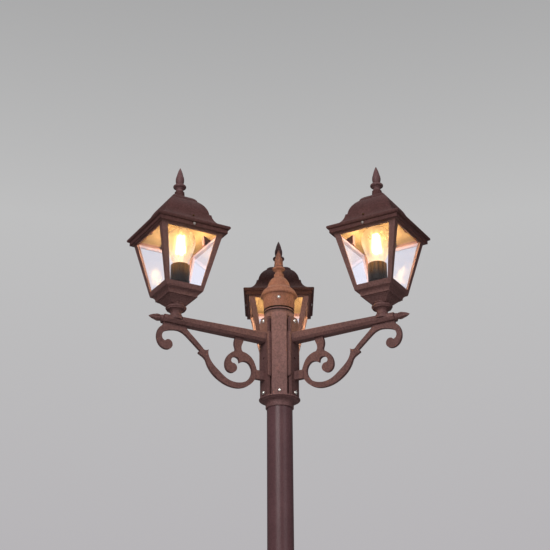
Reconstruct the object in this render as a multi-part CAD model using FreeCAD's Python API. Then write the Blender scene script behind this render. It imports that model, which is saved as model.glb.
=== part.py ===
import FreeCAD, Part
import math
import os

V = FreeCAD.Vector

# Triple head lamp post. Millimetres, +Z up, origin on the ground at the mast axis.
# One arm points along +Y, the other two lie 120 degrees to each side of it.
# Hub, arms and lanterns are drawn from the mast head up and lifted by mast_head at the end.

# driving sizes
mast_head = 1690.0        # ground to the hub's datum, just under the end of the mast
mast_od = 60.0
mast_wall = 2.5
arm_reach = 273.0         # mast axis to lantern axis
arm_azimuths = {"rear": 90.0, "left": 210.0, "right": 330.0}
column_wall = 8.0
column_top = 236.5
cage_foot_half = 46.5     # half width of a lantern's cage at its foot and its head
cage_head_half = 80.0
cage_height = 145.0
roof_height = 103.5       # from the cage's top to the roof's crown
bulb_r = 35.0             # a large pear bulb
bulb_len = 96.0           # its glass, foot to top
bulb_cap_r = 13.1         # E27 cap
holder_r = 22.5
holder_shift = 7.0        # lampholder and bulb stand this far from the lantern's axis, towards the hub

# fits and walls
slip = 0.15               # radial, tube in socket
screw_slip = 0.1          # radial, screw in its hole
cap_slip = 0.1            # radial, hub cap over its neck
touch_gap = 0.3           # between a loose piece and what it nearly touches
screw_r = 2.5
screw_head_r = 4.6
screw_head_h = 3.0
arm_screw_head_r = 5.2
arm_screw_head_h = 4.6
roof_screw_head_r = 3.6
small_screw_r = 1.6

# foot
foot_flange_r = 120.0
foot_flange_t = 14.0
foot_height = 205.0
foot_socket_z = 115.0     # ledge that carries the mast
foot_neck_r = mast_od / 2 + 13.0
foot_cavity_r = mast_od / 2 + 6.0     # hollow under the foot, for the ground cable
foot_cable_r = mast_od / 2 - 8.0
anchor_pcd = 202.0
anchor_hole_r = 5.5
anchor_count = 4
grub_r = 3.0
grub_count = 3

# hub
spigot_wall = 2.5
spigot_r = mast_od / 2 - mast_wall - slip
spigot_down = 80.0
spigot_up = 60.0
collar_top = 14.0
collar_drop = 9.0         # neck of the collar below the mast head
mast_in_collar = 5.0
column_bore_r = spigot_r + slip
column_r = column_bore_r + column_wall
collar_r = column_r + 9.2
panel_w = 1.014 * column_r
panel_face = column_r + 5.5    # mast axis to a panel's face
panel_top = column_top - 17.5
plate_seat = column_r - 4.3    # mast axis to the flat behind an arm
cap_seat_r = column_bore_r + 2.4    # short neck inside the hub cap
cap_seat_top = column_top + 31.5
cap_drum_r = column_r + 1.3
cap_rim_r = cap_drum_r + 6.4
cap_crown = column_top + 97.5

# arms
plate_w = panel_w - 0.2
plate_face = plate_seat + 11.3
plate_back = plate_face - 7.5
plate_pad_w = plate_w - 12.0   # pad behind the plate, which holds it off the column
plate_top = panel_top - 6.0
boss_w = 1.24 * column_r
boss_low = 60.0
boss_high = 172.0
beam_half_w = 15.0        # at the hub; it narrows towards the lantern
beam_half_w_tip = 13.5
beam_top = 170.5
beam_top_tip = 165.8
beam_low = 147.5
beam_low_tip = 150.0
beam_past_lantern = 33.0
channel_half_w = 8.5
channel_low = 151.6
channel_high = 160.4
scroll_t = 8.0
seat_top = 168.0          # round pad under the lantern
seat_r = 15.5
bud_len = 35.0

# lantern
pan_top = 226.0
pan_half = cage_foot_half - 0.5
pan_wall = 3.0
neck_r = 13.0
pan_screw_at = cage_foot_half - 9.3    # along x and y from the lantern's axis
cage_top = pan_top + cage_height
cage_wall = 4.0
cage_flange_t = 3.5
cage_flange_half = cage_foot_half - 11.5
window_low = pan_top + 10.0
window_high = cage_top - 11.0
window_half_low = cage_foot_half - 7.0
window_half_high = cage_head_half - 17.5
pane_t = 3.0
pane_low_half = window_half_low + 0.5
pane_high_half = window_half_high + 4.0
pane_top = cage_top - 5.0
skirt_low = cage_top - 6.6
skirt_wall = 3.2
skirt_half = cage_head_half + 3.3 + skirt_wall
eave_half = skirt_half + 5.1
roof_wall = 3.0
roof_screw_z = cage_top - 1.0
ledge_t = 1.6             # ledge round the cage's head, which closes the skirt's mouth
roof_crown_half = 0.17 * eave_half
roof_crown = cage_top + roof_height
lug_w = 12.0
lug_t = 3.0
lug_at = cage_head_half - 15.0
lug_low = cage_top - 15.0         # on the two sides without screws
lug_low_short = cage_top - 6.5    # behind the rail, on the sides with screws
finial_seat = roof_crown + 15.5
finial_foot_r = 11.4
finial_ring_r = 15.6
finial_height = 68.0

# lampholder and bulb
holder_low = pan_top + 14.0
holder_rim = holder_low + 59.0
shell_wall = 1.2
shell_r = bulb_cap_r + 0.6 + shell_wall
contact_low = holder_rim - 28.0
bulb_foot = holder_rim + 1.0
bulb_centre = bulb_foot + bulb_len - bulb_r
stud_r = 5.0
stud_bore_r = 3.2
stud_top = holder_low + 10.0
lead_r = 2.25
lead_level = 156.0
lead_bend = 10.0
lead_bend_up = 6.0
supply_r = 4.0
terminal_h = 24.0


# helpers

def cylinder(r, low, high, x=0.0, y=0.0):
    return Part.makeCylinder(r, high - low, V(x, y, low))


def tube(r_out, r_in, low, high):
    return cylinder(r_out, low, high).cut(cylinder(r_in, low - 1, high + 1))


def block(x0, x1, half_y, low, high):
    return Part.makeBox(x1 - x0, 2 * half_y, high - low, V(x0, -half_y, low))


def turned_about_z(shape, degrees):
    copy = shape.copy()
    copy.rotate(V(0, 0, 0), V(0, 0, 1), degrees)
    return copy


def moved(shape, x=0.0, y=0.0, z=0.0):
    copy = shape.copy()
    copy.translate(V(x, y, z))
    return copy


def arc_edge(start, middle, end):
    """An arc. Centred beyond an axis it is kept as a spline, for its torus would cross itself."""
    edge = Part.Arc(start, middle, end).toShape()
    if min(edge.Curve.Center.x, edge.Curve.Center.y) < 0:
        return edge.toNurbs().Edges[0]
    return edge


def edges_through(start, steps, place):
    """Lines to (a, b) and three-point arcs to (mid a, mid b, a, b), laid out by place."""
    edges = []
    here = start
    for step in steps:
        end = step[-2:]
        if len(step) == 4:
            edges.append(arc_edge(place(*here), place(*step[:2]), place(*end)))
        else:
            edges.append(Part.makeLine(place(*here), place(*end)))
        here = end
    return edges


def outline_face(start, steps, place):
    edges = edges_through(start, steps, place)
    end = steps[-1][-2:]
    if math.dist(start, end) > 1e-6:
        edges.append(Part.makeLine(place(*end), place(*start)))
    return Part.Face(Part.Wire(Part.__sortEdges__(edges)))


def upright(a, b):
    return V(a, 0, b)


def turned(start, *steps):
    """A solid of revolution about Z from a closed outline of (radius, height)."""
    return outline_face(start, steps, upright).revolve(V(0, 0, 0), V(0, 0, 1), 360)


def four_sided(start, *steps):
    """A square-plan solid with mitred corners, from half an outline of (half width, height)."""
    right = edges_through(start, steps, upright)
    left = [edge.mirror(V(0, 0, 0), V(1, 0, 0)) for edge in right]
    face = Part.Face(Part.Wire(Part.__sortEdges__(right + left)))
    reach = 2 * face.BoundBox.XMax
    face.translate(V(0, -reach / 2, 0))
    prism = face.extrude(V(0, reach, 0))
    return prism.common(turned_about_z(prism, 90))


def all_round(shape, angles):
    return [turned_about_z(shape, angle) for angle in angles]


def joined(shapes):
    whole = shapes[0]
    for shape in shapes[1:]:
        whole = whole.fuse(shape)
    return whole.removeSplitter()


def dome_screw(shank_len, head_r=screw_head_r, head_h=screw_head_h):
    """Screw along +X with its head's seat at x = 0 and its shank towards -X."""
    head = outline_face(
        (0, 0), [(0, head_r), (0.62 * head_h, 0.8 * head_r, head_h, 0)],
        lambda a, b: V(a, b, 0)).revolve(V(0, 0, 0), V(1, 0, 0), 360)
    shank = Part.makeCylinder(screw_r, shank_len, V(-shank_len, 0, 0), V(1, 0, 0))
    socket = Part.makeCylinder(1.5, head_h, V(head_h - 1.6, 0, 0), V(1, 0, 0))
    return head.fuse(shank).removeSplitter().cut(socket)


def round_hole(r, x0, x1, z):
    return Part.makeCylinder(r, x1 - x0, V(x0, 0, z), V(1, 0, 0))


def saved(name, shape):
    shape.exportStep("parts/" + name + ".step")
    print(name, len(shape.Solids), round(shape.Volume))


def group(shapes):
    return Part.makeCompound(shapes)


# foot and mast

anchor_angles = [45 + 360 * i / anchor_count for i in range(anchor_count)]
grub_angles = [30 + 360 * i / grub_count for i in range(grub_count)]
mast_socket_r = mast_od / 2 + slip
grub_z = foot_height - 24.0


def foot():
    top = foot_flange_t
    neck = foot_neck_r
    body = turned(
        (foot_cable_r, foot_socket_z), (mast_socket_r, foot_socket_z), (mast_socket_r, foot_height),
        (neck - 1, foot_height), (neck + 2, foot_height - 1, neck + 3, foot_height - 5),
        (neck + 2, foot_height - 9, neck, foot_height - 10),
        (neck, foot_height - 48),
        (neck + 6, foot_height - 50, neck + 8, foot_height - 56),
        (neck + 6, foot_height - 62, neck + 2, foot_height - 64),
        (neck + 8, top + 50, foot_flange_r - 44, top + 22),
        (foot_flange_r - 38, top + 22),
        (foot_flange_r - 33.5, top + 17, foot_flange_r - 32, top + 8),
        (foot_flange_r - 32, top),
        (foot_flange_r - 4, top),
        (foot_flange_r - 1, top - 1, foot_flange_r, top - 4),
        (foot_flange_r, 0), (foot_cavity_r, 0), (foot_cavity_r, foot_socket_z - 15),
        (foot_cable_r, foot_socket_z - 10))
    anchor = cylinder(anchor_hole_r, -1, foot_flange_t + 30, anchor_pcd / 2)
    for angle in anchor_angles:
        body = body.cut(turned_about_z(anchor, angle))
    for angle in grub_angles:
        body = body.cut(turned_about_z(round_hole(grub_r + screw_slip, 20, 60, grub_z), angle))
    return body


def foot_grub_screws():
    tip = mast_od / 2 + touch_gap
    end = foot_neck_r - 1.0
    screw = round_hole(grub_r, tip, end, grub_z).cut(round_hole(1.5, end - 2.5, end + 1, grub_z))
    return group(all_round(screw, grub_angles))


def mast_tube():
    return tube(mast_od / 2, mast_od / 2 - mast_wall, foot_socket_z, mast_head + mast_in_collar)


def foot_terminal():
    r = mast_od / 2 - mast_wall - touch_gap
    body = cylinder(r, foot_socket_z, foot_socket_z + terminal_h)
    return body.cut(cylinder(foot_cable_r / 3, foot_socket_z - 1, foot_socket_z + terminal_h / 2))


def supply_lead():
    return cylinder(supply_r, foot_socket_z + terminal_h, mast_head + spigot_up)


# hub, drawn from the mast head

panel_angles = [azimuth + 180 for azimuth in arm_azimuths.values()]
column_screw_z = collar_top + 10.0
arm_screw_low = collar_top + 9.5
arm_screw_high = plate_top - 10.0
arm_grub_z = 108.5
cap_screw_z = column_top + 23.5
cap_screw_seat = cap_drum_r + 1.0


def hub_collar():
    ring = collar_r
    lip = collar_r + 3.8
    neck = mast_od / 2 + 3.0
    top = collar_top
    return turned(
        (mast_socket_r, -collar_drop), (neck - 0.7, -collar_drop), (neck, -collar_drop + 0.7), (neck, top - 10.0),
        (neck + 1.6, top - 7.4, neck + 4.6, top - 6.4), (ring - 1.5, top - 5.6), (ring, top - 4.6),
        (ring, top - 3.4), (lip - 0.8, top - 3.2), (lip, top - 2.4), (lip, top - 1.0), (lip - 1.0, top),
        (spigot_r + slip, collar_top), (spigot_r + slip, mast_in_collar), (mast_socket_r, mast_in_collar))


def mast_spigot():
    body = tube(spigot_r, spigot_r - spigot_wall, -spigot_down, spigot_up)
    for angle in panel_angles:
        body = body.cut(turned_about_z(round_hole(screw_r + screw_slip, 10, 40, column_screw_z), angle))
    for azimuth in arm_azimuths.values():
        body = body.cut(turned_about_z(round_hole(screw_r + screw_slip, 10, 40, arm_screw_low), azimuth))
    return body


def hub_column():
    groove = column_top - 4.5
    body = turned(
        (column_bore_r, collar_top), (column_r, collar_top),
        (column_r, groove - 3), (column_r - 1.6, groove - 1.8),
        (column_r - 1.6, groove), (column_r + 0.6, groove + 0.8), (column_r + 0.6, column_top - 1.6),
        (column_r - 1.4, column_top), (cap_seat_r, column_top), (cap_seat_r, cap_seat_top - 1.5),
        (cap_seat_r - 1.5, cap_seat_top), (column_bore_r - 2.5, cap_seat_top),
        (column_bore_r - 2.5, column_top),
        (column_bore_r, column_top - 4))
    panel = block(20, panel_face, panel_w / 2, collar_top, panel_top)
    long_edges = [e for e in panel.Edges if abs(e.CenterOfMass.x - panel_face) < 1e-6]
    panel = panel.makeChamfer(1.2, long_edges).cut(cylinder(column_bore_r + 1, 0, 300))
    body = joined([body] + all_round(panel, panel_angles))
    flat = block(plate_seat, 60, plate_w / 2 + 0.1, collar_top - 1, plate_top + 1)
    lead_way = round_hole(lead_r + 1.5, 15, 60, lead_level)
    arm_bolts = joined([round_hole(screw_r + screw_slip, 15, 60, z)
                        for z in (arm_screw_low, arm_grub_z, arm_screw_high)])
    for azimuth in arm_azimuths.values():
        for tool in (flat, lead_way, arm_bolts):
            body = body.cut(turned_about_z(tool, azimuth))
    for angle in panel_angles:
        body = body.cut(turned_about_z(round_hole(screw_r + screw_slip, 15, 60, column_screw_z), angle))
    return body


def column_screws():
    screw = moved(dome_screw(panel_face - spigot_r + spigot_wall), panel_face, 0, column_screw_z)
    return group(all_round(screw, panel_angles))


def hub_terminal():
    return cylinder(column_bore_r - touch_gap, spigot_up, spigot_up + terminal_h)


def hub_cap():
    drum = cap_drum_r
    rim = cap_rim_r
    seat = cap_seat_r + cap_slip
    crown = cap_crown
    low = column_top
    body = turned(
        (seat, low), (drum - 0.8, low), (drum, low + 0.8), (drum + 1.6, low + 30.0), (drum + 3.2, low + 34.0),
        (rim - 1.6, low + 35.6), (rim + 0.4, low + 38.0, rim - 0.6, low + 43.0), (drum + 2.6, low + 51.0),
        (0.92 * drum, low + 56.0), (0.80 * drum, low + 60.0, 0.73 * drum, low + 67.0),
        (0.65 * drum, low + 76.0, 0.49 * drum, low + 84.5), (0.34 * drum, low + 88.5),
        (finial_foot_r + 0.3, crown - 2.0), (finial_foot_r + 0.3, crown), (0, crown), (0, crown - 9.0),
        (0.22 * drum, crown - 11.0), (0.50 * drum, low + 76.0, 0.62 * drum, low + 63.0),
        (0.76 * drum, low + 50.0),
        (seat - 0.8, low + 40.0), (seat, low + 39.0))
    hole = round_hole(screw_r + screw_slip, 20, cap_screw_seat + 1, cap_screw_z)
    spot_face = round_hole(screw_head_r + touch_gap, cap_screw_seat, 60, cap_screw_z)
    for angle in panel_angles:
        body = body.cut(turned_about_z(hole.fuse(spot_face), angle))
    return body.cut(cylinder(3.0 + screw_slip, crown - 20, crown + 1))


def cap_screws():
    screw = moved(dome_screw(cap_screw_seat - cap_seat_r - touch_gap), cap_screw_seat, 0, cap_screw_z)
    return group(all_round(screw, panel_angles))


def finial(seat):
    """Spear on a ring, with its stud down into the casting below."""
    ring = seat + 15.0
    tip = seat + finial_height
    return turned(
        (0, seat - 10), (3.0, seat - 10), (3.0, seat), (finial_foot_r, seat),
        (9.4, seat + 2.4, 8.8, seat + 7.0),
        (11.5, ring - 4.6), (14.6, ring - 2.6), (finial_ring_r, ring, 14.6, ring + 2.6),
        (11.0, ring + 5.2), (8.4, ring + 7.6), (10.2, ring + 16, 7.9, ring + 30),
        (5.0, ring + 41, 0, tip))


# arms, drawn along +X from the mast axis

beam_end = arm_reach + beam_past_lantern


def beam_section(x, half_w, top, low, ridge):
    shape = [(half_w - 1.2, top), (half_w, top - 1.2), (half_w, ridge), (half_w - 4.5, low),
             (4.5 - half_w, low), (-half_w, ridge), (-half_w, top - 1.2), (1.2 - half_w, top)]
    points = [V(x, y, z) for y, z in shape]
    return Part.makePolygon(points + points[:1])


def beam_solid():
    return Part.makeLoft([
        beam_section(plate_face - 3, beam_half_w, beam_top, beam_low, beam_low + 5.8),
        beam_section(beam_end, beam_half_w_tip, beam_top_tip, beam_low_tip, beam_low_tip + 6.6)], True, True)


def bud():
    centre = (beam_top_tip + beam_low_tip) / 2 + 1.0
    x = beam_end
    tip = x + bud_len
    spear = outline_face(
        (x - 1, 0), [(x - 1, 8.2), (x + 2.5, 8.2), (x + 5, 7.0), (x + 7, 7.4),
                     (x + 12.5, 8.4, x + 19, 7.0), (x + 28, 4.2, tip, 0)],
        lambda a, b: V(a, b, 0)).revolve(V(0, 0, 0), V(1, 0, 0), 360)
    groove = Part.makeCylinder(2.2, bud_len, V(x + 9, 0, 9.2), V(1, 0, -0.17))
    for i in range(6):
        cut = groove.copy()
        cut.rotate(V(0, 0, 0), V(1, 0, 0), 30 + 60 * i)
        spear = spear.cut(cut)
    return moved(spear, z=centre)


def arm():
    low = collar_top + 0.6
    plate = block(plate_back, plate_face, plate_w / 2, low, plate_top)
    pad_behind = block(plate_seat, plate_back + 1, plate_pad_w / 2, low, plate_top - 9.0)
    shoulder = [e for e in plate.Edges if abs(e.CenterOfMass.z - plate_top) < 1e-6
                and abs(abs(e.CenterOfMass.y) - plate_w / 2) < 1e-6]
    plate = plate.makeFillet(9.0, shoulder)
    boss = block(plate_face - 8.3, plate_face, boss_w / 2, boss_low, boss_high)
    ends = [e for e in boss.Edges if abs(e.CenterOfMass.x - plate_face) < 1e-6
            and abs(e.CenterOfMass.y) < 1e-6]
    boss = boss.makeFillet(5.0, ends)
    sides = [e for e in boss.Edges if abs(e.CenterOfMass.x - plate_face) < 1e-6
             and abs(abs(e.CenterOfMass.y) - boss_w / 2) < 1e-6]
    boss = boss.makeChamfer(0.8, sides)
    pad = turned(
        (0, 160), (seat_r + 2.5, 160), (seat_r + 2.5, beam_top_tip + 0.6), (seat_r, seat_top), (0, seat_top))
    body = joined([plate, pad_behind, boss, beam_solid(), moved(pad, arm_reach), bud()])
    channel = block(plate_seat - 1, arm_reach + channel_half_w, channel_half_w, channel_low, channel_high)
    stud_way = cylinder(stud_r + screw_slip, channel_high - 1, seat_top + 1, arm_reach)
    lead_way = round_hole(lead_r + 1.5, 20, plate_seat + 3, lead_level)
    body = body.cut(channel).cut(stud_way).cut(lead_way)
    for z in (arm_screw_low, arm_screw_high):
        body = body.cut(round_hole(screw_r + screw_slip, 20, 60, z))
    grub_seat = round_hole(screw_head_r - 1.0, plate_face - 3.0, plate_face + 1, arm_grub_z)
    return body.cut(round_hole(screw_r + screw_slip, 20, 60, arm_grub_z)).cut(grub_seat)


def arm_screws():
    head = (arm_screw_head_r, arm_screw_head_h)
    low = moved(dome_screw(plate_face - column_bore_r + spigot_wall, *head), plate_face, 0, arm_screw_low)
    high = moved(dome_screw(plate_face - column_bore_r, *head), plate_face, 0, arm_screw_high)
    grub = round_hole(screw_r, column_bore_r, plate_face - 3.2, arm_grub_z)
    grub = grub.cut(round_hole(1.3, plate_face - 6.5, plate_face, arm_grub_z))
    screws = []
    for azimuth in arm_azimuths.values():
        screws += [turned_about_z(screw, azimuth) for screw in (low, high, grub)]
    return group(screws)


# The scroll's outline is drawn from drawn_root to drawn_end and stretched along the arm with the beam.
drawn_root = 42.5
drawn_end = 306.0


def scroll():
    stretch = (beam_end - plate_face) / (drawn_end - drawn_root)

    def at(x, z):
        return V(plate_face + (x - drawn_root) * stretch, 0, z)

    def smooth(*points):
        curve = Part.BSplineCurve()
        curve.interpolate([at(*p) for p in points])
        return curve.toShape()

    def straight(a, b):
        return Part.makeLine(at(*a), at(*b))

    root = beam_low + 10.0
    edges = [
        # outer curl, down from the beam and round to its ball
        straight((304.0, root), (304.0, 143.7)),
        smooth((304.0, 143.7), (315.2, 131.8), (319.3, 115.5), (315.9, 99.7), (306.2, 88.9),
               (292.7, 85.9), (282.7, 91.1), (280.5, 100.3), (284.9, 107.8), (292.7, 109.5),
               (298.3, 105.3)),
        smooth((298.3, 105.3), (305.9, 110.3), (307.1, 118.0), (302.6, 126.3), (293.5, 131.4),
               (279.2, 135.1), (265.3, 135.7), (252.8, 131.5), (240.5, 122.6), (226.5, 110.9),
               (210.4, 97.4)),
        # leaf collar on the stem, lower side
        smooth((210.4, 97.4), (213.6, 94.0), (214.2, 91.2)),
        smooth((214.2, 91.2), (208.3, 87.7), (200.7, 83.0), (194.2, 75.1)),
        # lower bow of the big C, up its back to the crotch
        smooth((194.2, 75.1), (188.3, 61.8), (177.0, 47.5), (162.6, 36.5), (145.0, 27.8),
               (126.8, 23.7), (107.8, 24.1), (89.7, 30.5), (75.6, 41.4), (66.3, 54.7), (62.5, 70.0),
               (66.0, 84.5), (74.7, 101.0), (87.1, 110.5), (100.3, 114.2)),
        smooth((100.3, 114.2), (103.9, 121.4), (103.2, 129.4), (99.4, 138.5), (98.3, 144.9)),
        straight((98.3, 144.9), (98.3, root)),
        straight((98.3, root), (119.5, root)),
        straight((119.5, root), (119.5, 144.7)),
        smooth((119.5, 144.7), (121.7, 135.8), (121.5, 127.4), (119.1, 119.1), (120.8, 112.6)),
        # inner curl and its ball
        smooth((120.8, 112.6), (132.4, 105.5), (141.3, 93.9), (145.5, 79.5), (142.9, 66.1),
               (134.9, 59.0), (125.1, 59.0), (116.9, 65.4), (115.4, 74.6), (120.2, 80.9),
               (126.2, 82.1)),
        smooth((126.2, 82.1), (130.7, 87.3), (127.7, 94.4), (120.2, 98.7), (112.3, 96.6),
               (108.9, 89.6)),
        # spur, then the inside of the big C
        smooth((108.9, 89.6), (108.2, 87.0), (107.6, 85.6)),
        smooth((107.6, 85.6), (103.1, 88.9), (94.7, 91.5), (85.3, 89.7), (78.3, 82.1), (74.9, 70.2),
               (78.5, 56.7), (90.2, 44.0), (107.2, 37.3), (126.8, 37.1), (143.8, 43.5), (161.0, 56.4),
               (179.6, 73.4), (188.6, 89.3)),
        # leaf collar, upper side
        smooth((188.6, 89.3), (189.9, 97.0), (189.1, 103.5)),
        smooth((189.1, 103.5), (191.9, 102.0), (197.9, 100.7), (202.9, 103.2)),
        smooth((202.9, 103.2), (217.6, 117.5), (231.8, 130.1), (244.8, 142.1)),
        straight((244.8, 142.1), (252.9, root)),
        straight((252.9, root), (304.0, root)),
    ]
    face = Part.Face(Part.Wire(Part.__sortEdges__(edges)))
    face.translate(V(0, -scroll_t / 2, 0))
    plate = face.extrude(V(0, scroll_t, 0))
    lug = block(plate_face - 2, at(66.0, 0).x, scroll_t / 2 + 1.5, 54.0, 75.0)
    body = joined([plate, lug])
    hub_side = block(0, plate_face, 40, 0, 300)
    return body.cut(hub_side).cut(beam_solid())


def lead():
    bend = lead_bend
    up = lead_bend_up
    start = V(12.0, 0, spigot_up + terminal_h)
    corner = lead_level - bend
    root = math.sqrt(0.5)
    path = Part.Wire([
        Part.makeLine(start, V(start.x, 0, corner)),
        Part.Arc(V(start.x, 0, corner), V(start.x + bend * (1 - root), 0, corner + bend * root),
                 V(start.x + bend, 0, lead_level)).toShape(),
        Part.makeLine(V(start.x + bend, 0, lead_level), V(arm_reach - up, 0, lead_level)),
        Part.Arc(V(arm_reach - up, 0, lead_level),
                 V(arm_reach - up * (1 - root), 0, lead_level + up * (1 - root)),
                 V(arm_reach, 0, lead_level + up)).toShape(),
        Part.makeLine(V(arm_reach, 0, lead_level + up), V(arm_reach, 0, contact_low))])
    ring = Part.Wire(Part.makeCircle(lead_r, start, V(0, 0, 1)))
    return path.makePipeShell([ring], True, False)


# lantern, drawn on its own axis with the arm's far end towards +X

cage_slope = (cage_head_half - cage_foot_half) / (cage_top - pan_top)
side_angles = [0, 90, 180, 270]
screw_sides = [90, 270]


def cage_half(z):
    return cage_foot_half + cage_slope * (z - pan_top)


def taper(inset, low, high):
    return four_sided((0, low), (cage_half(low) - inset, low), (cage_half(high) - inset, high), (0, high))


def wide_opening(half_low, low, half_high, high):
    """A trapezoid seen along +X, driven out through one side."""
    corners = [V(5, -half_low, low), V(5, half_low, low), V(5, half_high, high), V(5, -half_high, high)]
    return Part.Face(Part.makePolygon(corners + corners[:1])).extrude(V(120, 0, 0))


pan_floor = pan_top - 20.0


def pan():
    top = pan_top
    half = pan_half
    shell = four_sided(
        (0, 194.5), (17.0, 194.5), (half - 15.0, top - 17.8), (half - 13.4, top - 17.8),
        (half - 13.4, top - 15.8), (half - 9.6, top - 15.0), (half - 7.4, top - 7.0, half - 2.4, top - 3.4),
        (half - 2.4, top - 2.6), (half, top - 2.0), (half, top), (0, top))
    neck = turned(
        (0, seat_top), (neck_r + 2.2, seat_top), (neck_r + 1.6, seat_top + 3.0),
        (neck_r, seat_top + 6, neck_r + 0.4, seat_top + 10),
        (neck_r + 3.5, seat_top + 14.5, neck_r + 8.8, seat_top + 16.5), (neck_r + 9.6, seat_top + 18.6),
        (neck_r + 11.2, seat_top + 20.6, neck_r + 10.6, seat_top + 24.0), (neck_r + 7.4, seat_top + 25.2),
        (neck_r + 7.4, seat_top + 27.2), (neck_r + 8.6, seat_top + 28.8, neck_r + 6.5, seat_top + 31.0),
        (0, seat_top + 31.0))
    hollow = four_sided(
        (0, pan_floor), (half - 24.0, pan_floor), (half - 13.0, top - 10), (half - 9.0, top - 6),
        (cage_flange_half, top - 4),
        (cage_flange_half, top + 1), (0, top + 1))
    body = joined([shell, neck]).cut(hollow)
    for x in (-pan_screw_at, pan_screw_at):
        for y in (-pan_screw_at, pan_screw_at):
            body = body.cut(cylinder(small_screw_r + screw_slip, top - 4, top + 1, x, y))
    return body.cut(cylinder(stud_r + screw_slip, seat_top - 1, pan_floor + 1))


def fixings():
    stud = cylinder(stud_r, channel_high, stud_top)
    stud = stud.cut(cylinder(stud_bore_r, channel_high - 1, stud_top + 1))
    corner = V(9.2, 0, pan_floor)
    nut_points = [turned_about_z(Part.Vertex(corner), 60 * i).Point for i in range(7)]
    nut = Part.Face(Part.makePolygon(nut_points)).extrude(V(0, 0, 6.0))
    nut = nut.cut(cylinder(stud_r + screw_slip, pan_floor - 1, pan_floor + 7))
    seat = pan_top + cage_flange_t
    screws = []
    for x in (-pan_screw_at, pan_screw_at):
        for y in (-pan_screw_at, pan_screw_at):
            head = cylinder(small_screw_r + 1.0, seat, seat + 1.8, x, y)
            screws.append(head.fuse(cylinder(small_screw_r, pan_top - 3.6, seat, x, y)).removeSplitter())
    return group([stud, nut] + screws)


def cage():
    body = taper(0, pan_top, cage_top).cut(taper(cage_wall, pan_top - 10, cage_top + 10))
    flange = taper(1, pan_top, pan_top + cage_flange_t)
    hole = block(-cage_flange_half, cage_flange_half, cage_flange_half, pan_top - 1, pan_top + 10)
    ledge_half = skirt_half - skirt_wall - touch_gap
    ledge = block(-ledge_half, ledge_half, ledge_half, skirt_low, skirt_low + ledge_t)
    ledge = ledge.cut(taper(cage_wall - 1, pan_top - 10, cage_top + 10))
    body = joined([body, flange.cut(hole), ledge])
    window = wide_opening(window_half_low, window_low, window_half_high, window_high)
    for angle in side_angles:
        body = body.cut(turned_about_z(window, angle))
    for x in (-pan_screw_at, pan_screw_at):
        for y in (-pan_screw_at, pan_screw_at):
            body = body.cut(cylinder(small_screw_r + screw_slip, pan_top - 1, pan_top + 6, x, y))
    return body


def panes():
    low = pan_top + cage_flange_t + touch_gap
    sheet = taper(cage_wall + 0.05, low, pane_top)
    sheet = sheet.cut(taper(cage_wall + 0.05 + pane_t, low - 1, pane_top + 1))
    outline = wide_opening(pane_low_half, low, pane_high_half, pane_top)
    return group([sheet.common(turned_about_z(outline, angle)) for angle in side_angles])


def roof():
    eave = eave_half
    crown = roof_crown
    top_half = roof_crown_half
    low = skirt_low
    outside = four_sided(
        (0, low), (skirt_half, low), (skirt_half, low + 9.4), (eave - 2.4, low + 9.6),
        (eave + 0.3, low + 14.4, eave - 2.6, low + 18.4),
        (0.77 * eave, low + 28.0, 0.631 * eave, crown - 56.9), (0.592 * eave, crown - 55.9),
        (0.52 * eave, crown - 34.7, 0.354 * eave, crown - 15.7), (0.341 * eave, crown - 12.1),
        (0.27 * eave, crown - 5.1, top_half, crown), (0, crown))
    inner = skirt_half - skirt_wall
    wall = roof_wall
    inside = four_sided(
        (0, low - 1), (inner, low - 1), (inner, low + 12.6), (eave - 12.0, low + 16.6),
        (0.714 * eave, low + 24.0, 0.568 * eave, crown - 61.5), (0.524 * eave, crown - 54.5),
        (0.452 * eave, crown - 36.5, 0.301 * eave, crown - 20.9), (top_half - 1, crown - wall),
        (0, crown - wall))
    boss = turned(
        (0, crown - wall - 3), (10, crown - wall - 3), (top_half - 0.6, crown - 0.5),
        (top_half - 1.2, crown + 1.0),
        (finial_foot_r + 1.0, crown + 6.0), (finial_foot_r + 0.2, finial_seat), (0, finial_seat))
    lugs = []
    for angle in side_angles:
        bottom = lug_low_short if angle in screw_sides else lug_low
        hanger = block(lug_at, lug_at + lug_t, lug_w / 2, bottom, cage_top + 21)
        saddle = block(lug_at, inner, lug_w / 2, cage_top, cage_top + 21)
        lugs.append(turned_about_z(hanger.fuse(saddle), angle))
    lug_set = joined(lugs).common(outside)
    body = joined([outside.cut(inside), boss, lug_set])
    body = body.cut(cylinder(3.0 + screw_slip, crown - 20, finial_seat + 1))
    pips = []
    for side in (1, -1):
        pip = Part.makeSphere(2.8, V(-8.0, side * 0.7 * eave, cage_top + 33.0))
        pips.append(pip.cut(inside))
    body = joined([body] + pips)
    for angle in screw_sides:
        hole = round_hole(screw_r + screw_slip, cage_head_half, 100, roof_screw_z)
        body = body.cut(turned_about_z(hole, angle))
    return body


def roof_screws():
    tip = cage_half(cage_top) + touch_gap
    screw = moved(dome_screw(skirt_half - tip, roof_screw_head_r), skirt_half, 0, roof_screw_z)
    return group(all_round(screw, screw_sides))


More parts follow.
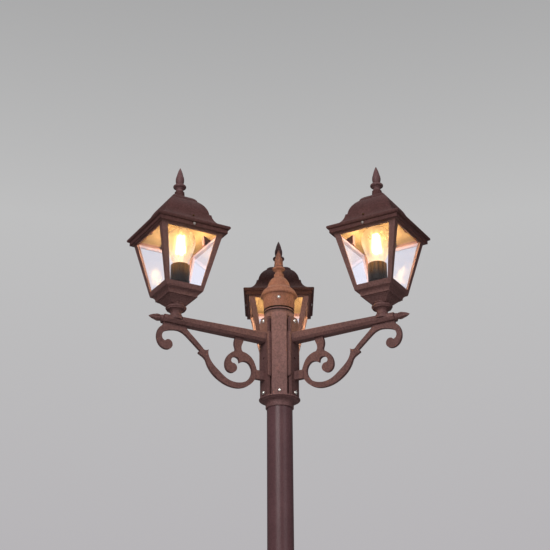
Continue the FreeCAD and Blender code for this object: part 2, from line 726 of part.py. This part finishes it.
def lampholder():
    """Cup on its own axis, with an off-centre foot that screws on the lantern's stud."""
    rim = holder_rim
    low = holder_low
    r = holder_r
    bore = shell_r + screw_slip
    cup = turned(
        (0, low + 6), (r - 3.0, low + 6), (r - 2.0, low + 7), (r - 2.0, low + 11),
        (r - 0.6, low + 13), (r, low + 14.5), (r, rim - 1.0), (r - 1.0, rim), (r - 4.1, rim),
        (r - 4.7, rim - 12),
        (bore, rim - 12), (bore, contact_low), (0, contact_low))
    foot_ring = cylinder(9.0, low, low + 8, holder_shift)
    stud_seat = cylinder(stud_r + screw_slip, low - 1, stud_top + 8, holder_shift)
    lead_way = cylinder(lead_r + 1.5, stud_top + 6, contact_low + 1, holder_shift)
    return joined([cup, foot_ring]).cut(stud_seat).cut(lead_way)


def holder_contacts():
    floor = contact_low
    r = shell_r
    return turned(
        (0, floor), (r, floor), (r, holder_rim - 5), (r - shell_wall, holder_rim - 5),
        (r - shell_wall, floor + 1.2), (3.6, floor + 1.2), (3.2, floor + 3.0), (0, floor + 3.0))


def bulb_cap():
    low = holder_rim - 24.6
    steps = [(4.4, low), (4.8, low + 1.2), (11.6, low + 3.6), (bulb_cap_r - 0.9, low + 5.0)]
    thread = low + 5.0
    pitch = 3.6
    for i in range(4):
        z = thread + i * pitch
        steps.append((bulb_cap_r, z + pitch / 2, bulb_cap_r - 0.9, z + pitch))
    steps += [(bulb_cap_r - 0.4, bulb_foot - 3.0), (bulb_cap_r + 0.2, bulb_foot), (0, bulb_foot)]
    return turned((0, low), *steps)


def bulb_glass():
    r = bulb_r
    c = bulb_centre
    foot_z = bulb_foot
    turn = math.radians(-15)
    join_r = r * math.cos(turn)
    join_z = c + r * math.sin(turn)
    neck = 0.55 * r
    mid_z = (foot_z + 9.0 + join_z) / 2 - 3.0
    side = math.sqrt(0.5)
    wall = 0.8
    inner = r - wall
    return turned(
        (0, foot_z), (13.6, foot_z), (15.0, foot_z + 3.0), (neck, foot_z + 9.0),
        (0.77 * r, mid_z, join_r, join_z),
        (r * side, c + r * side, 0, c + r), (0, c + inner),
        (inner * side, c + inner * side, join_r - wall, join_z + 0.2),
        (0.77 * r - wall, mid_z + 0.3, neck - wall, foot_z + 9.6), (14.0, foot_z + 3.6),
        (12.6, foot_z + 1.2), (7.0, foot_z + 2.0),
        (3.4, foot_z + 8.0, 2.6, foot_z + 18.0), (2.6, foot_z + 30.0), (0, foot_z + 30.0))


def filament():
    low = bulb_foot + 30.0
    high = bulb_foot + 0.79 * bulb_len
    spread = 0.3 * bulb_r
    lean = 0.12 * bulb_r
    stick_len = math.hypot(lean, high - low)
    pieces = [cylinder(2.4, low, low + 1.2), cylinder(0.6, low, high + 0.4)]
    for angle in (45, 135, 225, 315):
        stick = Part.makeCylinder(1.1, stick_len, V(spread, 0, low + 0.2), V(-lean, 0, high - low))
        foot_wire = Part.makeCylinder(0.5, spread - 1.5, V(1.5, 0, low + 0.6), V(1, 0, 0))
        head_wire = Part.makeCylinder(0.5, spread - lean, V(0, 0, high - 0.6), V(1, 0, 0))
        pieces += [turned_about_z(piece, angle) for piece in (stick, foot_wire, head_wire)]
    return joined(pieces)


# build

def placed(shape, azimuth, out=0.0):
    """Lift a piece from mast-head heights to the ground frame, move it out and turn it to its arm."""
    return turned_about_z(moved(shape, out, 0, mast_head), azimuth)


os.makedirs("parts", exist_ok=True)

saved("foot_casting", foot())
saved("foot_grub_screws", foot_grub_screws())
saved("foot_terminal", foot_terminal())
saved("mast_tube", mast_tube())
saved("supply_lead", supply_lead())

hub_pieces = {
    "hub_collar": hub_collar(), "mast_spigot": mast_spigot(), "hub_column": hub_column(),
    "column_screws": column_screws(), "hub_terminal": hub_terminal(), "arm_screws": arm_screws(),
    "hub_cap": hub_cap(), "cap_screws": cap_screws(), "cap_finial": finial(cap_crown)}
for name, shape in hub_pieces.items():
    saved(name, placed(shape, 0))

arm_pieces = {"arm_casting": arm(), "arm_scroll": scroll(), "arm_lead": lead()}
lantern_pieces = {
    "lantern_pan": pan(), "lantern_fixings": fixings(), "lantern_cage": cage(), "glass_panes": panes(),
    "roof": roof(), "roof_finial": finial(finial_seat), "roof_screws": roof_screws()}
lamp_pieces = {
    "lampholder": lampholder(), "holder_contacts": holder_contacts(), "bulb_cap": bulb_cap(),
    "bulb_glass": bulb_glass(), "bulb_filament": filament()}
for side, azimuth in arm_azimuths.items():
    for name, shape in arm_pieces.items():
        saved(name + "_" + side, placed(shape, azimuth))
    for name, shape in lantern_pieces.items():
        saved(name + "_" + side, placed(shape, azimuth, arm_reach))
    for name, shape in lamp_pieces.items():
        saved(name + "_" + side, placed(shape, azimuth, arm_reach - holder_shift))
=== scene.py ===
import math

import bpy
from mathutils import Matrix, Vector

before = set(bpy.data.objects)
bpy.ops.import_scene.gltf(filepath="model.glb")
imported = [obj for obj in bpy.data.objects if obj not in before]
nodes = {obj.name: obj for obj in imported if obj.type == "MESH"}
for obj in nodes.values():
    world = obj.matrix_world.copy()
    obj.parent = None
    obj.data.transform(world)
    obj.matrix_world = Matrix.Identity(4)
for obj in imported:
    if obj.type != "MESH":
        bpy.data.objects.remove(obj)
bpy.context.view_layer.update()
sides = {"rear": 90.0, "left": 210.0, "right": 330.0}  # where each arm points, in degrees
mastHead = 1.690  # heights over it are added to this
armReach = 0.273
bulbShift = 0.007  # the bulbs stand this much nearer the hub than the lanterns' middles
print("frame loaded,", len(nodes), "nodes")


def addNode(tree, kind, **values):
    node = tree.nodes.new(kind)
    for name, value in values.items():
        setattr(node, name, value)
    return node


# links a value that is a socket, and sets one that is a number or a colour of three parts
def feed(tree, value, socket):
    if isinstance(value, bpy.types.NodeSocket):
        tree.links.new(value, socket)
    elif isinstance(value, tuple):
        socket.default_value = (*value, 1)
    else:
        socket.default_value = value


def mixed(tree, factor, first, second, blend="MIX"):
    node = addNode(tree, "ShaderNodeMix", data_type="RGBA", blend_type=blend)
    feed(tree, factor, node.inputs["Factor"])
    feed(tree, first, node.inputs["A"])
    feed(tree, second, node.inputs["B"])
    return node.outputs["Result"]


def ranged(tree, value, given, made, smooth="LINEAR"):
    node = addNode(tree, "ShaderNodeMapRange", interpolation_type=smooth)
    feed(tree, value, node.inputs["Value"])
    for label, number in zip(("From Min", "From Max", "To Min", "To Max"), (*given, *made)):
        feed(tree, number, node.inputs[label])
    return node.outputs["Result"]


def calculated(tree, operation, first, second):
    node = addNode(tree, "ShaderNodeMath", operation=operation)
    feed(tree, first, node.inputs[0])
    feed(tree, second, node.inputs[1])
    return node.outputs[0]


def heightPart(tree, vector):
    node = addNode(tree, "ShaderNodeSeparateXYZ")
    tree.links.new(vector, node.inputs[0])
    return node.outputs["Z"]


def heightRamp(tree, height, stops):
    ramp = addNode(tree, "ShaderNodeValToRGB")
    elements = ramp.color_ramp.elements
    while len(elements) < len(stops):
        elements.new(0.5)
    for element, (position, colour) in zip(elements, stops):
        element.position = position
        element.color = (*colour, 1)
    tree.links.new(height, ramp.inputs["Fac"])
    return ramp.outputs["Color"]


viewSettings = {
    "place": (-0.0016, -2.7158, 0.7933),
    "heading": 0.16,
    "tilt": 90 + 24.38,
    "roll": -0.32,
    "lens": 79.8,
    "sensor": 36,
}


def addCamera(settings):
    data = bpy.data.cameras.new("photoCamera")
    data.lens = settings["lens"]
    data.sensor_width = settings["sensor"]
    camera = bpy.data.objects.new("photoCamera", data)
    bpy.context.scene.collection.objects.link(camera)
    camera.matrix_world = (
        Matrix.Translation(settings["place"])
        @ Matrix.Rotation(math.radians(settings["heading"]), 4, "Z")
        @ Matrix.Rotation(math.radians(settings["tilt"]), 4, "X")
        @ Matrix.Rotation(math.radians(settings["roll"]), 4, "Z"))
    bpy.context.scene.camera = camera


# the front softboxes light and gloss the metal but show in no pane, neither off its face nor off its back
softboxes = [
    {"name": "keySoftbox", "place": (-1.1, -3.3, 3.3), "aim": (0, 0, 1.95), "size": 2.2, "power": 106,
     "colour": (1, 0.985, 0.97), "mirrored": False,
     "shaded": ("roof_rear", "roof_finial_rear", "roof_screws_rear")},
    {"name": "fillSoftbox", "place": (2.5, -2.7, 2.5), "aim": (0, 0, 1.95), "size": 2.0, "power": 20,
     "colour": (0.97, 0.98, 1), "mirrored": False, "shaded": ()},
    {"name": "topSoftbox", "place": (0.2, 0.6, 4.6), "aim": (0, 0, 1.9), "size": 2.4, "power": 20,
     "colour": (1, 1, 1), "mirrored": True},
]


# all but the glass and the shaded pieces take light from a softbox that has this collection
def keptFrom(settings):
    linked = bpy.data.collections.new(settings["name"] + "Receivers")
    for name, piece in nodes.items():
        if name.startswith(("glass_panes", "bulb_glass") + settings["shaded"]):
            linked.objects.link(piece)
    for member in linked.collection_objects:
        member.light_linking.link_state = "EXCLUDE"
    return linked


def addSoftbox(settings):
    data = bpy.data.lights.new(settings["name"], "AREA")
    data.energy = settings["power"]
    data.size = settings["size"]
    data.color = settings["colour"]
    lamp = bpy.data.objects.new(settings["name"], data)
    bpy.context.scene.collection.objects.link(lamp)
    lamp.visible_transmission = settings["mirrored"]
    if not settings["mirrored"]:
        lamp.light_linking.receiver_collection = keptFrom(settings)
    lamp.location = settings["place"]
    lamp.rotation_euler = (Vector(settings["aim"]) - lamp.location).to_track_quat("-Z", "Y").to_euler()


bulbLight = {"height": 0.355, "radius": 0.014, "power": 4.4, "colour": (1.0, 0.94, 0.56)}


# the light that a lit bulb gives, kept out of gloss and glass, where the filament itself is seen
def addBulbLight(side, azimuth, settings):
    angle = math.radians(azimuth)
    out = armReach - bulbShift
    data = bpy.data.lights.new("bulbLight_" + side, "POINT")
    data.energy = settings["power"]
    data.color = settings["colour"]
    data.shadow_soft_size = settings["radius"]
    lamp = bpy.data.objects.new("bulbLight_" + side, data)
    bpy.context.scene.collection.objects.link(lamp)
    lamp.visible_glossy = False
    lamp.visible_transmission = False
    lamp.location = (out * math.cos(angle), out * math.sin(angle), mastHead + settings["height"])


# what the camera sees behind the lamp, and what lights it, each by the height of the direction
roomSettings = {
    "seen": [(0.20, (0.475, 0.462, 0.478)), (0.45, (0.520, 0.520, 0.522)), (0.62, (0.385, 0.385, 0.388))],
    "lighting": [(0.0, (0.05, 0.05, 0.05)), (0.35, (0.14, 0.14, 0.145)), (0.9, (0.27, 0.27, 0.28))],
}


def addRoom(settings):
    world = bpy.data.worlds.new("paleRoom")
    bpy.context.scene.world = world
    world.use_nodes = True
    tree = world.node_tree
    tree.nodes.clear()
    height = heightPart(tree, addNode(tree, "ShaderNodeTexCoord").outputs["Generated"])
    rays = addNode(tree, "ShaderNodeLightPath").outputs
    looking = calculated(tree, "MAXIMUM", rays["Is Camera Ray"], rays["Is Transmission Ray"])
    lighting = heightRamp(tree, height, settings["lighting"])
    seen = heightRamp(tree, height, settings["seen"])
    background = addNode(tree, "ShaderNodeBackground")
    output = addNode(tree, "ShaderNodeOutputWorld")
    tree.links.new(mixed(tree, looking, lighting, seen), background.inputs["Color"])
    tree.links.new(background.outputs[0], output.inputs["Surface"])


def newMaterial(name):
    material = bpy.data.materials.new(name)
    material.use_nodes = True
    return material, material.node_tree, material.node_tree.nodes["Principled BSDF"]


floorSettings = {"size": 14, "colour": (0.72, 0.72, 0.71), "rough": 0.75}


def addFloor(settings):
    bpy.ops.object.select_all(action="DESELECT")
    bpy.ops.mesh.primitive_plane_add(size=settings["size"], location=(0, 0, 0))
    floor = bpy.context.object
    floor.name = "floor"
    material, tree, shader = newMaterial("paleFloor")
    feed(tree, settings["colour"], shader.inputs["Base Color"])
    feed(tree, settings["rough"], shader.inputs["Roughness"])
    floor.data.materials.append(material)


glareSettings = {"kind": "BLOOM", "threshold": 1.0, "maximum": 4.0, "strength": 0.13, "size": 0.13}


# the bulbs are bright enough to bloom in the lens
def addGlare(settings):
    scene = bpy.context.scene
    scene.use_nodes = True
    tree = scene.node_tree
    tree.nodes.clear()
    layers = addNode(tree, "CompositorNodeRLayers")
    glare = addNode(tree, "CompositorNodeGlare", glare_type=settings["kind"])
    glare.inputs["Threshold"].default_value = settings["threshold"]
    glare.inputs["Clamp"].default_value = True
    glare.inputs["Maximum"].default_value = settings["maximum"]
    glare.inputs["Strength"].default_value = settings["strength"]
    glare.inputs["Size"].default_value = settings["size"]
    output = addNode(tree, "CompositorNodeComposite")
    tree.links.new(layers.outputs["Image"], glare.inputs["Image"])
    tree.links.new(glare.outputs["Image"], output.inputs["Image"])


addCamera(viewSettings)
for settings in softboxes:
    addSoftbox(settings)
for side, azimuth in sides.items():
    addBulbLight(side, azimuth, bulbLight)
addRoom(roomSettings)
addFloor(floorSettings)
addGlare(glareSettings)
bpy.context.scene.view_settings.view_transform = "Standard"
print("camera, lights and floor ready")


def objectPlace(tree):
    return addNode(tree, "ShaderNodeTexCoord").outputs["Object"]


def noiseOver(tree, vector, scale, detail=2, rough=0.5):
    node = addNode(tree, "ShaderNodeTexNoise")
    tree.links.new(vector, node.inputs["Vector"])
    feed(tree, scale, node.inputs["Scale"])
    feed(tree, detail, node.inputs["Detail"])
    feed(tree, rough, node.inputs["Roughness"])
    return node.outputs["Fac"]


# upright streaks, as a number from one end of the made range to the other
def streaksOver(tree, vector, settings):
    stretch = addNode(tree, "ShaderNodeMapping")
    stretch.inputs["Scale"].default_value = settings["scale"]
    tree.links.new(vector, stretch.inputs["Vector"])
    return ranged(tree, noiseOver(tree, stretch.outputs["Vector"], 1), settings["given"], settings["made"])


# slow clouds and small flecks in the colour, and a fine grain in the roughness and the surface
grainSettings = {
    "clouds": {"scale": 22, "detail": 3, "given": (0.30, 0.70), "made": (0.84, 1.16)},
    "flecks": {"detail": 4, "rough": 0.7, "given": (0.35, 0.65), "made": (0.70, 1.30)},
    "grain": {"given": (0.35, 0.65), "height": 0.0004},
}

grainInputs = [
    ("Colour", "NodeSocketColor", (0.1, 0.06, 0.05, 1)),
    ("Cloud Amount", "NodeSocketFloat", 0.25),
    ("Fleck Scale", "NodeSocketFloat", 230.0),
    ("Fleck Amount", "NodeSocketFloat", 0.3),
    ("Grain Scale", "NodeSocketFloat", 900.0),
    ("Grain Depth", "NodeSocketFloat", 0.12),
    ("Roughness Low", "NodeSocketFloat", 0.38),
    ("Roughness High", "NodeSocketFloat", 0.55),
]

grainOutputs = [
    ("Colour", "NodeSocketColor"),
    ("Roughness", "NodeSocketFloat"),
    ("Normal", "NodeSocketVector"),
]


def powderGrainGroup(settings):
    group = bpy.data.node_groups.new("powderGrain", "ShaderNodeTree")
    for label, kind, value in grainInputs:
        group.interface.new_socket(label, in_out="INPUT", socket_type=kind).default_value = value
    for label, kind in grainOutputs:
        group.interface.new_socket(label, in_out="OUTPUT", socket_type=kind)
    given = addNode(group, "NodeGroupInput").outputs
    made = addNode(group, "NodeGroupOutput").inputs
    place = objectPlace(group)
    clouds, flecks, grain = settings["clouds"], settings["flecks"], settings["grain"]
    cloud = noiseOver(group, place, clouds["scale"], clouds["detail"])
    fleck = noiseOver(group, place, given["Fleck Scale"], flecks["detail"], flecks["rough"])
    fine = noiseOver(group, place, given["Grain Scale"])
    shade = ranged(group, cloud, clouds["given"], clouds["made"])
    speck = ranged(group, fleck, flecks["given"], flecks["made"])
    clouded = mixed(group, given["Cloud Amount"], given["Colour"], shade, "MULTIPLY")
    flecked = mixed(group, given["Fleck Amount"], clouded, speck, "MULTIPLY")
    rough = ranged(group, fine, grain["given"], (given["Roughness Low"], given["Roughness High"]))
    bump = addNode(group, "ShaderNodeBump")
    bump.inputs["Distance"].default_value = grain["height"]
    group.links.new(given["Grain Depth"], bump.inputs["Strength"])
    group.links.new(fine, bump.inputs["Height"])
    group.links.new(flecked, made["Colour"])
    group.links.new(rough, made["Roughness"])
    group.links.new(bump.outputs["Normal"], made["Normal"])
    return group


powderGrain = powderGrainGroup(grainSettings)

# where a roof's inner faces, which get a painted bulb glow, start over the mast head, and how far down a face
# must look to be one
roofInside = {"height": 0.379, "slope": -0.05}

# painted shadow lines along the hub cap's edge and in the groove under it, with painted shadow fading down
# the column below and a painted highlight on the bead between, by height over the mast head
paintedSeamShadows = {
    "from": 0.2215, "to": 0.2415,
    "shades": [(0.06, 1.0), (0.25, 0.62), (0.42, 0.30), (0.555, 0.20), (0.575, 1.15),
               (0.73, 1.15), (0.745, 0.10), (0.87, 0.10), (0.90, 1.0)],
}

coatSettings = {
    "armCoat": {"colour": (0.126, 0.062, 0.059), "cloud": 0.6, "flecks": 0.9, "grain": 900, "depth": 0.25,
                "rough": (0.52, 0.68), "gloss": 0.14},
    "mastCoat": {"colour": (0.110, 0.054, 0.059), "cloud": 0.4, "flecks": 0.4, "grain": 1300, "depth": 0.06,
                 "rough": (0.24, 0.32), "gloss": 0.17},
    "hubCoat": {"colour": (0.150, 0.075, 0.074), "cloud": 0.6, "flecks": 0.9, "grain": 900, "depth": 0.25,
                "rough": (0.50, 0.66), "gloss": 0.16, "paintedShadows": paintedSeamShadows},
    # painted light: the cap is the same paint as the hub, made warmer and oranger to stand for the lanterns'
    # amber light falling on it
    "capCoatBulbLit": {"colour": (0.165, 0.070, 0.052), "cloud": 0.6, "flecks": 0.9, "grain": 900, "depth": 0.25,
                "rough": (0.50, 0.66), "gloss": 0.16, "paintedShadows": paintedSeamShadows},
    "spearCoat": {"colour": (0.128, 0.062, 0.063), "cloud": 0.5, "flecks": 0.5, "grain": 900, "depth": 0.25,
                  "rough": (0.48, 0.62), "gloss": 0.22},
    "roofCoat": {"colour": (0.083, 0.036, 0.035), "cloud": 0.7, "flecks": 1.0, "grain": 800, "depth": 0.35,
                 "rough": (0.60, 0.76), "gloss": 0.10, "under": (0.100, 0.055, 0.028)},
}

# uncoated metals and mouldings, with hardly any grain
plainSettings = {
    "brightScrew": {"colour": (0.78, 0.76, 0.72), "metallic": 1.0, "rough": (0.16, 0.30), "grain": 700},
    "zincSteel": {"colour": (0.62, 0.62, 0.60), "metallic": 1.0, "rough": (0.28, 0.45), "grain": 500},
    "brassShell": {"colour": (0.78, 0.58, 0.27), "metallic": 1.0, "rough": (0.18, 0.32), "grain": 400},
    "bulbCapMetal": {"colour": (0.80, 0.79, 0.76), "metallic": 1.0, "rough": (0.18, 0.34), "grain": 400},
    "dullScrew": {"colour": (0.42, 0.38, 0.36), "metallic": 1.0, "rough": (0.34, 0.50), "grain": 700},
    "blackMoulding": {"colour": (0.016, 0.014, 0.013), "metallic": 0.0, "rough": (0.34, 0.48), "grain": 600},
    "cableSheath": {"colour": (0.03, 0.03, 0.03), "metallic": 0.0, "rough": (0.5, 0.62), "grain": 900},
}
plainGrain = {"cloud": 0.5, "flecks": 0.0, "depth": 0.05, "gloss": 0.5}


# faces inside a roof, which look down from above its eave, have a second, yellower colour: painted amber
# light of the bulb below, on what is the same coat as outside
def paintedRoofGlow(tree, colour, under):
    facing = heightPart(tree, addNode(tree, "ShaderNodeNewGeometry").outputs["Normal"])
    down = calculated(tree, "LESS_THAN", facing, roofInside["slope"])
    height = heightPart(tree, objectPlace(tree))
    above = calculated(tree, "GREATER_THAN", height, mastHead + roofInside["height"])
    return mixed(tree, calculated(tree, "MULTIPLY", down, above), colour, under)


# multiplies the coat's colour by the painted shade and highlight given by height
def paintedSeamShadowColour(tree, colour, settings):
    ends = (mastHead + settings["from"], mastHead + settings["to"])
    height = ranged(tree, heightPart(tree, objectPlace(tree)), ends, (0, 1))
    stops = [(position, (shade, shade, shade)) for position, shade in settings["shades"]]
    return mixed(tree, 1, colour, heightRamp(tree, height, stops), "MULTIPLY")


def grainMaterial(name, settings):
    material, tree, shader = newMaterial(name)
    surface = addNode(tree, "ShaderNodeGroup", node_tree=powderGrain)
    feed(tree, settings["colour"], surface.inputs["Colour"])
    feed(tree, settings["cloud"], surface.inputs["Cloud Amount"])
    feed(tree, settings["flecks"], surface.inputs["Fleck Amount"])
    feed(tree, settings["grain"], surface.inputs["Grain Scale"])
    feed(tree, settings["depth"], surface.inputs["Grain Depth"])
    for label, rough in zip(("Roughness Low", "Roughness High"), settings["rough"]):
        feed(tree, rough, surface.inputs[label])
    colour = surface.outputs["Colour"]
    # painted amber bulb light on the roof's inner faces
    if "under" in settings:
        colour = paintedRoofGlow(tree, colour, settings["under"])
    # painted shadow lines and a painted highlight at the hub cap's foot
    if "paintedShadows" in settings:
        colour = paintedSeamShadowColour(tree, colour, settings["paintedShadows"])
    shader.inputs["Metallic"].default_value = settings.get("metallic", 0)
    shader.inputs["Specular IOR Level"].default_value = settings["gloss"]
    tree.links.new(colour, shader.inputs["Base Color"])
    tree.links.new(surface.outputs["Roughness"], shader.inputs["Roughness"])
    tree.links.new(surface.outputs["Normal"], shader.inputs["Normal"])
    return material


glassSettings = {"ior": 1.45, "clear": 1.0, "smeared": (0.4, 0.75), "shadow": (0.96, 0.96, 0.95)}
# the panes' inner faces carry a painted glow that stands in for the bulb's scattered light
paneSettings = {
    "colour": (0.965, 0.965, 1.0), "smear": (0.0, 0.02), "scale": 9, "gloss": 0.22, "strength": 1,
    "paintedScatter": (0.30, 0.31, 0.37), "middle": 0.33,
}
bulbGlassSettings = {
    "colour": (1.0, 0.97, 0.90), "smear": (0.26, 0.36), "scale": 30, "gloss": 0.4, "strength": 0.10,
    "glow": [(0.0, (0.9, 0.55, 0.22)), (0.45, (1.0, 0.72, 0.36)), (1.0, (0.55, 0.27, 0.10))],
    "foot": 0.300, "top": 0.396,
    "streaks": {"scale": (170, 170, 12), "given": (0.38, 0.62), "made": (0.2, 2.2)},
}


# light scattered in the glass of a lit bulb, strongest about the filament and in upright streaks
def glowColour(tree, settings):
    place = objectPlace(tree)
    ends = (mastHead + settings["foot"], mastHead + settings["top"])
    height = ranged(tree, heightPart(tree, place), ends, (0, 1))
    glow = heightRamp(tree, height, settings["glow"])
    return mixed(tree, 1, glow, streaksOver(tree, place, settings["streaks"]), "MULTIPLY")


# painted glow on the inner face of a pane, which has its lantern's middle in front of it: emitted colour
# standing in for the bulb's light scattered there
def paintedPaneGlow(tree, settings, azimuth):
    angle = math.radians(azimuth)
    faces = addNode(tree, "ShaderNodeNewGeometry").outputs
    inwards = addNode(tree, "ShaderNodeVectorMath", operation="SUBTRACT")
    inwards.inputs[0].default_value = (
        armReach * math.cos(angle), armReach * math.sin(angle), mastHead + settings["middle"])
    tree.links.new(objectPlace(tree), inwards.inputs[1])
    facing = addNode(tree, "ShaderNodeVectorMath", operation="DOT_PRODUCT")
    tree.links.new(inwards.outputs[0], facing.inputs[0])
    tree.links.new(faces["Normal"], facing.inputs[1])
    inner = calculated(tree, "GREATER_THAN", facing.outputs["Value"], 0)
    front = calculated(tree, "SUBTRACT", 1, faces["Backfacing"])
    return mixed(tree, calculated(tree, "MULTIPLY", inner, front), (0, 0, 0), settings["paintedScatter"])


# clear glass whose own shadow is light; the light given off comes from the function that is handed in
def glassMaterial(name, settings, lightColour):
    material, tree, shader = newMaterial(name)
    noise = noiseOver(tree, objectPlace(tree), settings["scale"], 4)
    smear = ranged(tree, noise, glassSettings["smeared"], settings["smear"])
    tree.links.new(smear, shader.inputs["Roughness"])
    feed(tree, settings["colour"], shader.inputs["Base Color"])
    shader.inputs["Transmission Weight"].default_value = glassSettings["clear"]
    shader.inputs["IOR"].default_value = glassSettings["ior"]
    shader.inputs["Specular IOR Level"].default_value = settings["gloss"]
    tree.links.new(lightColour(tree), shader.inputs["Emission Color"])
    shader.inputs["Emission Strength"].default_value = settings["strength"]
    rays = addNode(tree, "ShaderNodeLightPath")
    clear = addNode(tree, "ShaderNodeBsdfTransparent")
    feed(tree, glassSettings["shadow"], clear.inputs["Color"])
    mix = addNode(tree, "ShaderNodeMixShader")
    tree.links.new(rays.outputs["Is Shadow Ray"], mix.inputs[0])
    tree.links.new(shader.outputs[0], mix.inputs[1])
    tree.links.new(clear.outputs[0], mix.inputs[2])
    tree.links.new(mix.outputs[0], tree.nodes["Material Output"].inputs["Surface"])
    return material


# black moulding whose upper part has painted amber light from the bulb, in upright streaks
holderSettings = {
    "black": (0.009, 0.006, 0.005), "paintedBulbLight": (0.26, 0.110, 0.016), "from": 0.262, "to": 0.299,
    "rough": 0.40, "gloss": 0.1,
    "streaks": {"scale": (260, 260, 8), "given": (0.32, 0.68), "made": (0.25, 1)},
}


def holderMaterial(settings):
    material, tree, shader = newMaterial("holderMoulding")
    place = objectPlace(tree)
    ends = (mastHead + settings["from"], mastHead + settings["to"])
    rise = ranged(tree, heightPart(tree, place), ends, (0, 1), "SMOOTHSTEP")
    # painted bulb light, rising towards the top and broken into upright streaks
    paintedBulbLight = calculated(tree, "MULTIPLY", rise, streaksOver(tree, place, settings["streaks"]))
    tree.links.new(mixed(tree, paintedBulbLight, settings["black"], settings["paintedBulbLight"]), shader.inputs["Base Color"])
    shader.inputs["Roughness"].default_value = settings["rough"]
    shader.inputs["Specular IOR Level"].default_value = settings["gloss"]
    return material


filamentSettings = {
    "hot": (1.0, 0.72, 0.34), "warm": (1.0, 0.5, 0.16), "cold": (0.8, 0.6, 0.3), "strength": 22, "scale": 300,
}


def filamentMaterial(settings):
    material, tree, shader = newMaterial("glowingFilament")
    noise = noiseOver(tree, objectPlace(tree), settings["scale"])
    tree.links.new(mixed(tree, noise, settings["warm"], settings["hot"]), shader.inputs["Emission Color"])
    shader.inputs["Emission Strength"].default_value = settings["strength"]
    feed(tree, settings["cold"], shader.inputs["Base Color"])
    return material


finishes = {name: grainMaterial(name, given) for name, given in coatSettings.items()}
for name, given in plainSettings.items():
    finishes[name] = grainMaterial(name, {**plainGrain, **given})
finishes["bulbGlass"] = glassMaterial(
    "bulbGlass", bulbGlassSettings, lambda tree: glowColour(tree, bulbGlassSettings))
for side, azimuth in sides.items():
    finishes["lanternPane_" + side] = glassMaterial(
        "lanternPane_" + side, paneSettings, lambda tree: paintedPaneGlow(tree, paneSettings, azimuth))
finishes["holderMoulding"] = holderMaterial(holderSettings)
finishes["glowingFilament"] = filamentMaterial(filamentSettings)
print(len(finishes), "finishes made")

nodeFinish = {
    "foot_casting": "armCoat", "foot_grub_screws": "brightScrew", "foot_terminal": "blackMoulding",
    "mast_tube": "mastCoat", "supply_lead": "cableSheath",
    "hub_collar": "hubCoat", "mast_spigot": "zincSteel", "hub_column": "hubCoat",
    "column_screws": "brightScrew", "arm_screws": "brightScrew", "hub_terminal": "blackMoulding",
    "hub_cap": "capCoatBulbLit", "cap_screws": "brightScrew", "cap_finial": "capCoatBulbLit",
    "arm_casting": "armCoat", "arm_scroll": "armCoat", "arm_lead": "cableSheath",
    "lantern_pan": "armCoat", "lantern_fixings": "zincSteel", "lantern_cage": "armCoat",
    "glass_panes": "lanternPane",
    "roof": "roofCoat", "roof_finial": "spearCoat", "roof_screws": "dullScrew",
    "lampholder": "holderMoulding", "holder_contacts": "brassShell",
    "bulb_cap": "bulbCapMetal", "bulb_glass": "bulbGlass", "bulb_filament": "glowingFilament",
}


# a node's name without its side, and the side with its underscore
def splitSide(name):
    for side in sides:
        if name.endswith("_" + side):
            return name[: -len(side) - 1], "_" + side
    return name, ""


for name, piece in nodes.items():
    kind, side = splitSide(name)
    finish = nodeFinish[kind]
    if finish == "lanternPane":  # each lantern's panes know where its middle is
        finish += side
    piece.data.materials.clear()
    piece.data.materials.append(finishes[finish])
print("finishes on", len(nodes), "nodes")
